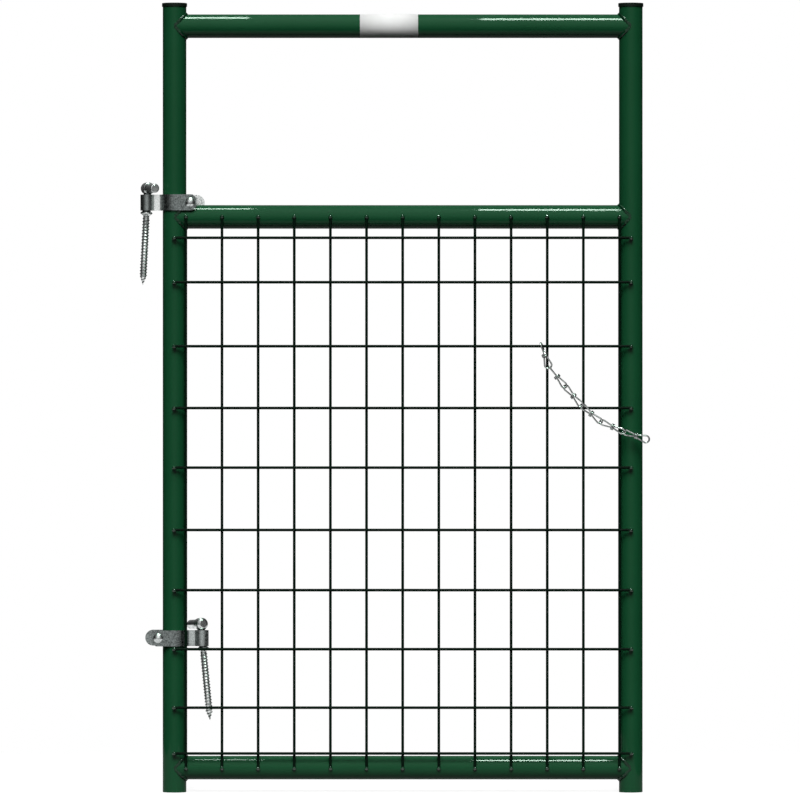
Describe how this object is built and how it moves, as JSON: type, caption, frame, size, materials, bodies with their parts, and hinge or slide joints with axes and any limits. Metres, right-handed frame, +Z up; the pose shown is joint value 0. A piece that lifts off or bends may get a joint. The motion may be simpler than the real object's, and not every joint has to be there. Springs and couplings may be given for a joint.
{
  "type": "field gate",
  "caption": "Walk-through field gate: welded green tube frame with an open top bay, a wire panel below, strap hinges with screw hooks and a latch chain.",
  "frame": {"origin": "axis of the hinge upright at its foot", "axes": "+X to the latch upright, -Y the front that carries the wires, +Z up"},
  "size_m": [0.9609, 0.094, 1.487],
  "materials": {
    "tube_green": "dark green powder coat on steel tube, semi-gloss",
    "wire_green": "the same coat on steel wire, looks darker",
    "cap_black": "dark moulded cap",
    "zinc_plate": "bright zinc plate on forged and bent steel",
    "chain_zinc": "bright zinc plate on bent wire"
  },
  "bodies": {
    "leaf": {"hinge_upright": "tube_green", "latch_upright": "tube_green", "bottom_rail": "tube_green", "middle_rail": "tube_green", "top_rail": "tube_green", "hinge_upright_cap": "cap_black", "latch_upright_cap": "cap_black", "rail_welds": "tube_green", "column_wire_welds": "wire_green", "cross_wire_welds": "wire_green", "column_wire_01": "wire_green", "column_wire_02": "wire_green", "column_wire_03": "wire_green", "column_wire_04": "wire_green", "column_wire_05": "wire_green", "column_wire_06": "wire_green", "column_wire_07": "wire_green", "column_wire_08": "wire_green", "column_wire_09": "wire_green", "column_wire_10": "wire_green", "column_wire_11": "wire_green", "column_wire_12": "wire_green", "column_wire_13": "wire_green", "cross_wire_01": "wire_green", "cross_wire_02": "wire_green", "cross_wire_03": "wire_green", "cross_wire_04": "wire_green", "cross_wire_05": "wire_green", "cross_wire_06": "wire_green", "cross_wire_07": "wire_green", "cross_wire_08": "wire_green", "cross_wire_09": "wire_green", "cross_wire_10": "wire_green", "upper_strap": "zinc_plate", "upper_bolt": "zinc_plate", "upper_nut": "zinc_plate", "lower_strap": "zinc_plate", "lower_bolt": "zinc_plate", "lower_nut": "zinc_plate"},
    "upper_hook": {"upper_hook": "zinc_plate"},
    "lower_hook": {"lower_hook": "zinc_plate"},
    "chain_link_1": {"chain_link_1": "chain_zinc"},
    "chain_link_2": {"chain_link_2": "chain_zinc"},
    "chain_link_3": {"chain_link_3": "chain_zinc"},
    "chain_link_4": {"chain_link_4": "chain_zinc"},
    "chain_link_5": {"chain_link_5": "chain_zinc"},
    "chain_link_6": {"chain_link_6": "chain_zinc"}
  },
  "joints": [
    {"name": "upper_hook_swing", "type": "hinge", "parent": "leaf", "child": "upper_hook", "pos_m": [-0.052, 0, 1.111], "axis": [0, 0, 1], "range_deg": [-250, 28]},
    {"name": "lower_hook_swing", "type": "hinge", "parent": "leaf", "child": "lower_hook", "pos_m": [0.052, 0, 0.29021], "axis": [0, 0, 1], "range_deg": [-135, 19]},
    {"name": "link_1_swing", "type": "hinge", "parent": "leaf", "child": "chain_link_1", "pos_m": [0.69, -0.03015, 0.84607], "axis": [0, -1, 0], "range_deg": [-52, 5]},
    {"name": "link_2_swing", "type": "hinge", "parent": "chain_link_1", "child": "chain_link_2", "pos_m": [0.70415, -0.04245, 0.80253], "axis": [0, -1, 0], "range_deg": [-65, 20]},
    {"name": "link_3_swing", "type": "hinge", "parent": "chain_link_2", "child": "chain_link_3", "pos_m": [0.73398, -0.04245, 0.7657], "axis": [0, -1, 0], "range_deg": [-31, 27]},
    {"name": "link_4_swing", "type": "hinge", "parent": "chain_link_3", "child": "chain_link_4", "pos_m": [0.76507, -0.04245, 0.72992], "axis": [0, -1, 0], "range_deg": [-37, 21]},
    {"name": "link_5_swing", "type": "hinge", "parent": "chain_link_4", "child": "chain_link_5", "pos_m": [0.80085, -0.04245, 0.69883], "axis": [0, -1, 0], "range_deg": [-46, 12]},
    {"name": "link_6_swing", "type": "hinge", "parent": "chain_link_5", "child": "chain_link_6", "pos_m": [0.84415, -0.04245, 0.67955], "axis": [0, -1, 0], "range_deg": [-35, 24]}
  ]
}
